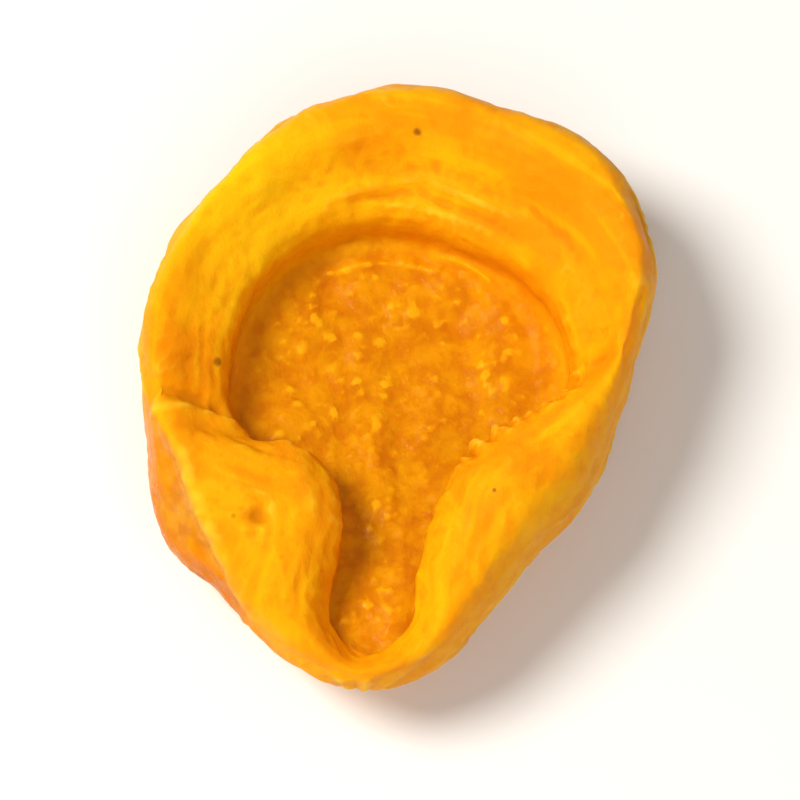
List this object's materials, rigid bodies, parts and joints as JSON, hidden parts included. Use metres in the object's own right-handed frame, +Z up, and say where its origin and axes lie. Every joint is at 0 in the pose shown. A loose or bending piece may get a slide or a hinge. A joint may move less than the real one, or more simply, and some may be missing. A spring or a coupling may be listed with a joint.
{
  "type": "dried apricot half",
  "caption": "Dried apricot half lying on its skin: a puffy rolled rim round the hollow the stone left, with folded lips beside an open stem channel.",
  "frame": {"origin": "bottom centre of the bounding box, on the surface the fruit lies on", "axes": "+Z up out of the hollow, +Y from the stem tip to the blossom end, +X to the right seen from above with the stem tip nearest"},
  "size_m": [0.0354, 0.0426, 0.0132],
  "materials": {
    "dried_flesh": "soft sticky satin, lightly see-through where it is thin"
  },
  "bodies": {
    "root": {"apricot_half": "dried_flesh"}
  },
  "joints": []
}
